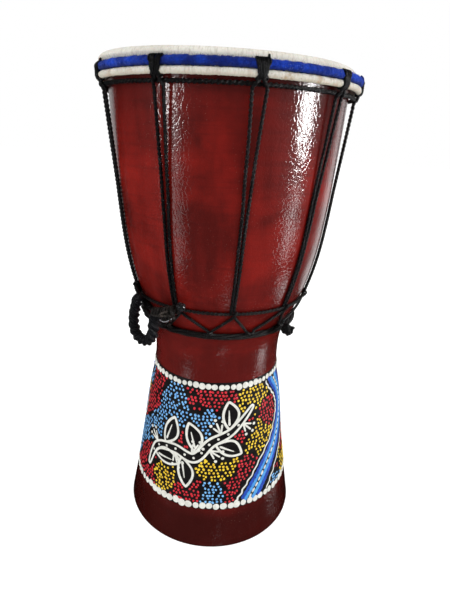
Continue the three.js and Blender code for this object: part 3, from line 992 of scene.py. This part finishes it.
def whipped_knot(glossy, pale):
    """Cord wound round the lacing and the handle's lower end, with a pale thread under it."""
    bundle = Bundle()
    middle = [around(0.1028, *place) for place in KNOT_MIDDLE]
    wrapping(bundle, middle, 0.0038, 0.0017, 7, 0.0006)
    rope(bundle, middle, 0.0037, [0, 0, 1], samples=30)
    wrapping(bundle, [around(*place) for place in KNOT_UNDERSIDE], 0.0021, 0.0015, 3.4, 0.0004)
    for tilt in (-1, 1):
        crossing = [around(0.1082, -33 + 2 * tilt, 0.2775), around(0.1092, -29.5, 0.281 + 0.001 * tilt),
                    around(0.1078, -25 - tilt, 0.2835 + 0.002 * tilt)]
        rope(bundle, crossing, 0.0014, samples=30)
    settle(bundle, "whipped_knot", glossy, "drum", "black_cord", "handle_knot")
    bundle = Bundle()
    rope(bundle, [around(*place) for place in KNOT_THREAD], 0.0005, samples=40, step=0.0004)
    settle(bundle, "whipping_thread", pale, "drum", "black_cord")


def tail_knot(black):
    """The lacing's free end and the stopper knot on it."""
    bundle = Bundle()
    rope(bundle, [around(*p) for p in TAIL_ROUTE], 0.0019, lay=0.008)
    settle(bundle, "tail_end_cord", black, "drum", "black_cord", "tail_cord")

    centre = around(*TAIL_KNOT)
    bundle = Bundle()
    blob(bundle, centre, TAIL_SIZE - 0.002)
    for tilt in ((1, 0.2, 0.3), (0.2, 1, 0.5), (-0.5, 0.6, 1)):
        axis = unit(np.array(tilt, float))
        coil(bundle, centre - axis * 0.0018, axis, 0.0036, TAIL_SIZE - 0.0017, 0.0017, 1.8, 0.0004)
    stub = centre + 0.0042 * outward(centre) + np.array([0.0022, 0, 0.0042])
    rope(bundle, [centre, stub - np.array([0, 0, 0.001]), stub], 0.0023, samples=16)
    settle(bundle, "tail_end_knot", black, "drum", "black_cord", "tail_knot")


def knots(black, glossy, melted, pale):
    upper_tie(black)
    whipped_knot(glossy, pale)
    bundle = Bundle()
    blob(bundle, around(*MELTED_END), MELTED_SIZE, lumps=0.1, facets=0.16)
    settle(bundle, "melted_cord_end", melted, "drum", "black_cord", "melted_end")
    tail_knot(black)


# ---------------------------------------------------------------- painted band

def band(material):
    """The black ground: a thin sleeve of paint whose edges waver."""
    steps, rows = 360, 56
    angle = np.linspace(0, 360, steps, endpoint=False)
    high = BAND_HIGH + smooth_noise(steps, 14, 0.0006, closed=True)
    low = BAND_LOW + smooth_noise(steps, 14, 0.0006, closed=True)
    t = np.linspace(0, 1, rows)[:, None]
    height = low + (high - low) * t
    skin = np.minimum(1, np.minimum(t, 1 - t) * 60 + 0.2) * 0.00028
    outer = surface(angle + 0 * height, height, skin[..., None])[0]
    inner = surface(angle + 0 * height, height, -0.0003)[0][::-1]
    bundle = Bundle()
    bundle.add(np.vstack([outer, inner]).reshape(-1, 3), grid_faces(2 * rows, steps, rows_close=True))
    settle(bundle, "painted_ground", material, "drum", "shell_wood")


def drop(bundle, angle, height, across, along, tall, turn=0.0, sides=8, rings=1):
    """A drop of paint, domed, on the band."""
    point, normal, ring, up = surface(angle, height, 0.0001)
    c, s = math.cos(turn), math.sin(turn)
    a = ring * c + up * s
    b = up * c - ring * s
    phi = np.linspace(0, 2 * math.pi, sides, endpoint=False)
    flat = a * (np.cos(phi) * across / 2)[:, None] + b * (np.sin(phi) * along / 2)[:, None]
    rows = [point + flat]
    for k in range(1, rings + 1):
        lift = k / (rings + 1) * math.pi / 2
        rows.append(point + flat * math.cos(lift) ** 0.7 + normal * tall * math.sin(lift))
    points = np.vstack(rows + [point + normal * tall])
    faces = grid_faces(rings + 1, sides)
    tip = len(points) - 1
    last = rings * sides
    faces += [[last + j, last + (j + 1) % sides, tip] for j in range(sides)]
    faces.append(list(range(sides))[::-1])
    bundle.add(points, faces)


class Drawing:
    """Raised lines on the band, with a memory of where they run so that dots stay off them."""

    def __init__(self):
        self.white = Bundle()
        self.marks = []
        self.shapes = []

    def line(self, bundle, route, width, taper=0.0, closed=False, tall=0.0005):
        """route holds (angle, height) points."""
        path = np.array(route, float)
        middle = path[:, 1].mean()
        scale = np.array([math.radians(1) * bowl_radius(middle), 1.0])
        step = 0.0008
        fine, _ = resample(path * scale, step, closed)
        fine = fine / scale
        point, normal, _, _ = surface(fine[:, 0], fine[:, 1], 0.0001)
        side = unit(np.cross(normal, along_route(point, closed)))
        share = np.linspace(0, 1, len(fine))
        half = width / 2 * (1 + taper * (share - 0.5) * 2) * (1 + smooth_noise(len(fine), 5, 0.07, closed))
        if not closed:
            reach = np.minimum(share, 1 - share) * len(fine) * step
            half = half * np.sqrt(np.clip(reach / (width / 2) + 0.2, 0, 1))
        phi = np.linspace(0, 2 * math.pi, 8, endpoint=False)
        rise = tall * (half / half.max())
        sections = np.stack([half[:, None] * np.cos(phi), rise[:, None] * np.sin(phi)], -1)
        sweep(bundle, point, side, normal, sections, closed)
        self.marks.append(np.column_stack([fine, half]))

    def closed_shape(self, route, width):
        self.line(self.white, route, width, closed=True)
        self.shapes.append(np.array(route))

    def white_dot(self, angle, height, size):
        drop(self.white, angle, height, size, size, 0.0006, sides=14, rings=2)
        self.marks.append(np.array([[angle, height, size / 2]]))

    def free(self, angle, height, clearance):
        """Whether each point is clear of every line and outside every closed shape."""
        marks = np.vstack(self.marks)
        ok = np.ones(len(angle), bool)
        for i in range(len(angle)):
            turn = (marks[:, 0] - angle[i] + 180) % 360 - 180
            dx = np.radians(turn) * bowl_radius(height[i])
            ok[i] = np.all(np.hypot(dx, marks[:, 1] - height[i]) > marks[:, 2] + clearance)
        for shape in self.shapes:
            ok &= ~inside(shape, angle, height)
        return ok


def inside(shape, angle, height):
    """Even-odd test of points against a closed shape of (angle, height)."""
    middle = shape[:, 0].mean()
    x = (angle - middle + 180) % 360 - 180 + middle
    hit = np.zeros(len(angle), bool)
    for (x1, y1), (x2, y2) in zip(shape, np.roll(shape, -1, axis=0)):
        crosses = (y1 > height) != (y2 > height)
        at = (x2 - x1) * (height - y1) / ((y2 - y1) or 1e-12) + x1
        hit ^= crosses & (x < at)
    return hit


def placed(points, centre, height, scale, mirror=1):
    """Flat drawing points, in metres, laid on the band as (angle, height)."""
    p = np.array(points, float) * scale
    z = height + p[:, 1]
    return np.stack([centre + mirror * np.degrees(p[:, 0] / bowl_radius(z)), z], axis=1)


def almond(x, y, length, width, turn, curve=0.0):
    """A pointed leaf from its stalk end at x, y, pointing along turn degrees."""
    t = np.linspace(0, 1, 24)
    half = width / 2 * np.sin(math.pi * t) ** 0.85
    bow = curve * np.sin(math.pi * t)
    along = np.r_[t, t[::-1][1:-1]] * length
    across = np.r_[bow + half, (bow - half)[::-1][1:-1]]
    c, s = math.cos(math.radians(turn)), math.sin(math.radians(turn))
    return np.stack([x + along * c - across * s, y + along * s + across * c], axis=1)


VINE_LINE = 0.0033
VINE_STEM = [
    (-0.062, -0.046), (-0.050, -0.020), (-0.026, -0.012), (-0.004, -0.016), (0.012, 0.002),
    (0.032, 0.014), (0.052, 0.036),
]
STEM_STEPS = 160


def polar_points(x, y, turn, reaches):
    """Points at distances from x, y in the direction of turn degrees."""
    c, s = math.cos(math.radians(turn)), math.sin(math.radians(turn))
    return np.array([(x + a * c, y + a * s) for a in reaches])


def leafy_vine(drawing, centre, height, scale, mirror):
    """A winding stem with dots in it, pointed leaves on alternate sides, and sprigs of berries."""

    def lay(points):
        return placed(points, centre, height, scale, mirror)

    stem = spline(VINE_STEM, STEM_STEPS)
    way = along_route(stem)
    across = np.stack([-way[:, 1], way[:, 0]], axis=1)
    share = np.linspace(0, 1, len(stem))
    half = (0.0008 + 0.0038 * np.sin(math.pi * share) ** 0.5)[:, None]
    body = np.vstack([stem + across * half, (stem - across * half)[::-1]])
    drawing.closed_shape(lay(body), VINE_LINE)
    for t in np.linspace(0.12, 0.88, 11):
        angle, z = lay([stem[int(t * (STEM_STEPS - 1))]])[0]
        drawing.white_dot(angle, z, 0.0028 * scale)
    for k, t in enumerate((0.13, 0.27, 0.41, 0.55, 0.69, 0.83)):
        i = int(t * (STEM_STEPS - 1))
        side = 1 if k % 2 else -1
        turn = math.degrees(math.atan2(way[i, 1], way[i, 0])) + side * 58
        x, y = stem[i] + across[i] * side * half[i, 0]
        length, width = 0.033 - 0.001 * k, 0.0155
        drawing.closed_shape(lay(almond(x, y, length, width, turn, -side * 0.002)), VINE_LINE)
        rib = polar_points(x, y, turn, np.linspace(0.14, 0.72, 8) * length)
        drawing.line(drawing.white, lay(rib), VINE_LINE * 0.7, taper=-0.4)
        x, y = stem[i + 11] - across[i + 11] * side * half[i + 11, 0]
        turn = math.degrees(math.atan2(way[i, 1], way[i, 0])) - side * 80
        for fan in (-28, 0, 28):
            reach = 0.0125 if fan == 0 else 0.010
            stroke = polar_points(x, y, turn + fan, np.linspace(0.001, reach, 6))
            drawing.line(drawing.white, lay(stroke), VINE_LINE * 0.75)
            angle, z = lay(polar_points(x, y, turn + fan, [reach + 0.003]))[0]
            drawing.white_dot(angle, z, 0.0034 * scale)


# A river's rows of strokes: paint, how far off the middle, width and length of a stroke, spacing
RIVER_ROWS = [
    ("dark", -0.0092, 0.0064, 0.0088, 0.0052), ("light", -0.0042, 0.0056, 0.0082, 0.005),
    ("white", 0.0002, 0.003, 0.006, 0.0068), ("light", 0.0044, 0.005, 0.008, 0.0052),
    ("dark", 0.0088, 0.0052, 0.0082, 0.0054),
]
RIVER_HALF_WIDTH = 0.0155


def river(drawing, dark, light, course):
    """A winding run of overlapping strokes in two blues with white between wavering white lines."""
    middle = spline(course, 160)

    def beside(offset, wobble=0.0):
        """The course moved sideways by an offset in metres, with the wavering of a hand."""
        angle, z = middle[:, 0], middle[:, 1]
        scale = np.radians(1) * bowl_radius(z)
        flat = np.stack([angle * scale, z], axis=1)
        way = along_route(flat)
        shift = offset + smooth_noise(len(z), 16, wobble)
        moved_angle = angle + shift * way[:, 1] / scale
        return np.stack([moved_angle, z - shift * way[:, 0]], axis=1)

    def between_rows(z):
        return (z > ROW_LOW + 0.003) & (z < ROW_HIGH - 0.0035)

    bundles = {"dark": dark, "light": light, "white": drawing.white}
    flatten = np.array([math.radians(1) * BAND_RADIUS, 1.0])
    for paint, offset, across, along, gap in RIVER_ROWS:
        even, _ = resample(beside(offset, 0.0004) * flatten, gap)
        way = np.gradient(even, axis=0)
        for (angle, z), (dx, dz) in zip(even / flatten, way):
            if between_rows(z):
                turn = math.atan2(dz, dx) - math.pi / 2 + dice.normal(0, 0.08)
                size = dice.uniform(0.92, 1.1)
                drop(bundles[paint], angle, z, across * size, along * size, 0.0006, turn, sides=12, rings=2)
    for offset in (-0.0185, 0.0155):
        route = beside(offset, 0.0011)
        zigzag = 0.0022 * np.abs(np.mod(np.arange(len(route)) / 4.5, 2) - 1)
        route[:, 0] += np.degrees(zigzag / BAND_RADIUS)
        route = route[between_rows(route[:, 1])]
        if len(route) > 8:
            drawing.line(drawing.white, route, 0.0025)
    clear = middle[(middle[:, 1] > BAND_LOW) & (middle[:, 1] < BAND_HIGH)]
    drawing.marks.append(np.column_stack([clear, np.full(len(clear), RIVER_HALF_WIDTH)]))


def edge_row(bundle, height, count, size):
    """A row of white dots along an edge of the band."""
    angle = np.arange(count) * 360 / count + dice.normal(0, 0.28, count)
    for a in angle:
        grow = dice.uniform(0.88, 1.16)
        drop(bundle, a, height + dice.normal(0, 0.0003), size * grow, size * grow * dice.uniform(0.95, 1.1),
             0.0008, sides=16, rings=3)


# Patches of one colour of dot: (angle, height, colour)
PATCHES = [
    (-78, 0.178, "sky"), (-66, 0.150, "red"), (-80, 0.130, "red"), (-84, 0.155, "yellow"),
    (-62, 0.182, "red"), (-33, 0.168, "sky"), (-12, 0.180, "red"), (6, 0.182, "red"),
    (34, 0.175, "yellow"), (52, 0.155, "red"), (-70, 0.108, "sky"), (-84, 0.088, "sky"),
    (-58, 0.082, "red"), (-36, 0.078, "yellow"), (-16, 0.066, "red"),
    (2, 0.062, "sky"), (18, 0.064, "red"), (30, 0.062, "sky"), (34, 0.088, "red"), (46, 0.112, "yellow"),
    (-52, 0.128, "sky"), (-60, 0.060, "red"), (-6, 0.150, "sky"), (24, 0.140, "red"), (-30, 0.110, "red"),
    (4, 0.100, "yellow"), (50, 0.182, "yellow"), (36, 0.130, "yellow"),
]


def colour_dots(drawing, bundles):
    """Small dots in rows, each in the colour of the patch it falls in, with black between patches."""
    names = ("red", "sky", "yellow", "red")
    back_patches = 46
    seeds = list(PATCHES)
    for k in range(back_patches):
        seeds.append((dice.uniform(88, 268), dice.uniform(0.06, 0.185), names[k % 4]))
    seed = np.array([(a, z) for a, z, _ in seeds])
    pitch, margin = 0.0045, 0.0052
    spots = []
    height = ROW_LOW + margin
    row = 0
    while height < ROW_HIGH - margin:
        radius = float(bowl_radius(height))
        count = int(2 * math.pi * radius / pitch)
        shift = 0.5 * (row % 2) + 0.13 * row
        for k in range(count):
            spots.append(((k + shift) * 360 / count, height))
        height += pitch * 0.87
        row += 1
    spots = np.array(spots)
    spots[:, 0] += dice.normal(0, 0.5, len(spots))
    spots[:, 1] += dice.normal(0, 0.00055, len(spots))
    spots = spots[drawing.free(spots[:, 0], spots[:, 1], 0.0016)]
    for angle, z in spots:
        turn = (seed[:, 0] - angle + 180) % 360 - 180
        away = np.hypot(np.radians(turn) * BAND_RADIUS, seed[:, 1] - z)
        order = np.argsort(away)
        own, other = order[0], order[1]
        apart = seeds[own][2] != seeds[other][2]
        if (apart and away[other] - away[own] < 0.0018) or dice.random() < 0.05:
            continue
        size = dice.uniform(0.0026, 0.0033)
        drop(bundles[seeds[own][2]], angle, z, size, size * dice.uniform(1.0, 1.35), 0.0005,
             dice.uniform(-0.9, 0.9))


# Vines: angle, height, scale, and -1 where mirrored
VINES = [(-10, 0.126, 1.12, 1), (115, 0.122, 0.82, 1), (217, 0.122, 0.82, -1)]
# Courses of the rivers' middles, as (angle, height)
RIVERS = [
    [(58, 0.20), (64, 0.186), (72, 0.168), (74, 0.145), (64, 0.116), (46, 0.086), (33, 0.062), (25, 0.045)],
    [(158, 0.20), (168, 0.165), (160, 0.13), (172, 0.095), (166, 0.065), (172, 0.045)],
    [(276, 0.20), (264, 0.165), (270, 0.13), (258, 0.095), (266, 0.065), (262, 0.045)],
]


def painted_band():
    band(band_paint())
    drawing = Drawing()
    for vine in VINES:
        leafy_vine(drawing, *vine)
    dark, light = Bundle(), Bundle()
    for course in RIVERS:
        river(drawing, dark, light, course)
    edge_row(drawing.white, ROW_HIGH, 68, 0.0065)
    edge_row(drawing.white, ROW_LOW, 74, 0.0078)
    dots = {name: Bundle() for name in ("red", "yellow", "sky")}
    colour_dots(drawing, dots)
    pale = dot_paint("white_dot_paint", rgb(226, 226, 218), rgb(206, 206, 198), 0.5)
    settle(drawing.white, "white_paint", pale, "drum", "shell_wood")
    for bundle, name, paint, colour, darker in (
        (dots["red"], "red_dots", "red_dot_paint", rgb(226, 34, 50), rgb(186, 22, 36)),
        (dots["yellow"], "yellow_dots", "yellow_dot_paint", rgb(250, 216, 40), rgb(220, 176, 30)),
        (dots["sky"], "sky_dots", "sky_dot_paint", rgb(128, 192, 242), rgb(96, 158, 220)),
        (dark, "deep_blue_strokes", "deep_blue_paint", rgb(20, 82, 194), rgb(14, 58, 160)),
        (light, "bright_blue_strokes", "bright_blue_paint", rgb(80, 166, 230), rgb(54, 134, 210)),
    ):
        settle(bundle, name, dot_paint(paint, colour, darker), "drum", "shell_wood")


# ---------------------------------------------------------------- studio

STUDIO_REACH = 9.0
# name, angle, distance, height, width, height of the box, power, what it aims at, what it lights
SOFTBOXES = [
    ("right_strip", 73, 1.0, 0.45, 0.085, 0.24, 6.8, 0.38, "shine"),
    ("right_strip_low", 74, 1.0, 0.05, 0.12, 0.3, 0.9, 0.2, "shine"),
    ("right_neck", 92, 1.0, -0.37, 0.34, 0.14, 0.5, 0.2, "shine"),
    ("neck_sheen", 13, 1.0, -0.82, 0.035, 0.3, 0.16, 0.2, "shine"),
    ("left_strip", -52, 1.1, 0.46, 0.15, 0.09, 1.6, 0.41, "shine"),
    ("left_sheen", -50, 1.1, 0.16, 0.2, 0.9, 1.1, 0.3, "shine"),
    ("right_back", 142, 1.3, 0.4, 0.7, 1.5, 3.5, 0.3, "shine"),
    ("left_back", -142, 1.3, 0.4, 0.7, 1.5, 1.6, 0.3, "shine"),
    ("right_fill", 62, 1.2, 0.8, 0.8, 0.8, 7, 0.3, "fill"),
    ("left_fill", -70, 1.2, 0.8, 0.8, 0.8, 5, 0.3, "fill"),
    ("overhead", 0, 0.15, 1.6, 1.0, 1.0, 5, 0.4, "fill"),
]


def backdrop_light():
    """A material that only glows."""
    material = bpy.data.materials.new("studio_backdrop")
    material.use_nodes = True
    tree = material.node_tree
    tree.nodes.clear()
    light = tree.nodes.new("ShaderNodeEmission")
    light.inputs["Strength"].default_value = 1.0
    out = tree.nodes.new("ShaderNodeOutputMaterial")
    tree.links.new(light.outputs[0], out.inputs[0])
    return material


def floor_finish():
    f = Finish("studio_floor", Roughness=1.0, Specular_IOR_Level=0.0, Emission_Color=(1, 1, 1, 1),
               Emission_Strength=0.6)
    pale, paler = (0.74, 0.74, 0.74, 1), (0.78, 0.78, 0.78, 1)
    return f.finished(Base_Color=f.mix(f.span(f.noise(3), 0.3, 0.7), pale, paler))


def softbox(name, angle, distance, height, width, tall, power, aim, only):
    """An area light that faces the drum's axis at the height aim. only is what it may light:
    shine for reflections alone, or fill for all but reflections."""
    data = bpy.data.lights.new(name, "AREA")
    data.shape = "RECTANGLE"
    data.size = width
    data.size_y = tall
    data.energy = power
    light = bpy.data.objects.new(name, data)
    place = around(distance, angle, height)
    light.location = place
    light.rotation_euler = Vector(np.array([0, 0, aim]) - place).to_track_quat("-Z", "Y").to_euler()
    light.visible_diffuse = only != "shine"
    light.visible_glossy = only != "fill"
    bpy.context.scene.collection.objects.link(light)


def studio():
    scene = bpy.context.scene
    scene.view_settings.view_transform = "Standard"
    world = bpy.data.worlds.new("studio")
    scene.world = world
    world.use_nodes = True
    background = next(n for n in world.node_tree.nodes if n.type == "BACKGROUND")
    background.inputs["Color"].default_value = (1, 1, 1, 1)
    background.inputs["Strength"].default_value = 0.7
    world.cycles_visibility.glossy = False

    bundle = Bundle()
    far = STUDIO_REACH
    bundle.add([(-far, -far, 0), (far, -far, 0), (far, far, 0), (-far, far, 0)], [[0, 1, 2, 3]])
    floor = bundle.piece("studio_floor", floor_finish(), smooth=False)
    floor.visible_glossy = False
    dome = Bundle()
    blob(dome, np.zeros(3), STUDIO_REACH, lumps=0.0, rows=24, columns=48)
    backdrop = dome.piece("studio_backdrop", backdrop_light())
    backdrop.visible_glossy = False
    backdrop.visible_diffuse = False
    backdrop.visible_shadow = False

    for light in SOFTBOXES:
        softbox(*light)


make_camera()
black_cord = cord_finish("black_cord", rgb(2, 2, 3), rgb(17, 17, 19), rgb(46, 44, 44), -0.04, 0.42)
worn_cord = cord_finish("worn_cord", rgb(6, 5, 5), rgb(34, 31, 30), rgb(84, 74, 68), 0.06, 0.5)
carry_handle(cord_finish("handle_cord", rgb(3, 3, 5), rgb(26, 26, 32), rgb(48, 48, 54), -0.04, 0.36))
shell(lacquered_wood())
drum_skin(goat_skin())
cloth = blue_cloth()
crown_wrap(cloth)
crown_fuzz(cloth)
cloth_flap(cloth)
lacing(black_cord, worn_cord)
# The knot's lighter yarns and tint are pale enough to paint highlights on its coil turns.
knot_cord = cord_finish("knot_cord", rgb(8, 7, 7), rgb(54, 48, 44), rgb(112, 100, 90), 0.05, 0.34)
pale_thread = cord_finish("pale_thread", rgb(130, 130, 136), rgb(186, 186, 190), rgb(160, 158, 156), 0.0)
knots(black_cord, knot_cord, melted_plastic(), pale_thread)
painted_band()
steel = bright_steel()
for hoop in ("flesh_hoop", "crown_hoop", "bottom_hoop"):
    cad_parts[hoop].data.materials.clear()
    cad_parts[hoop].data.materials.append(steel)
studio()
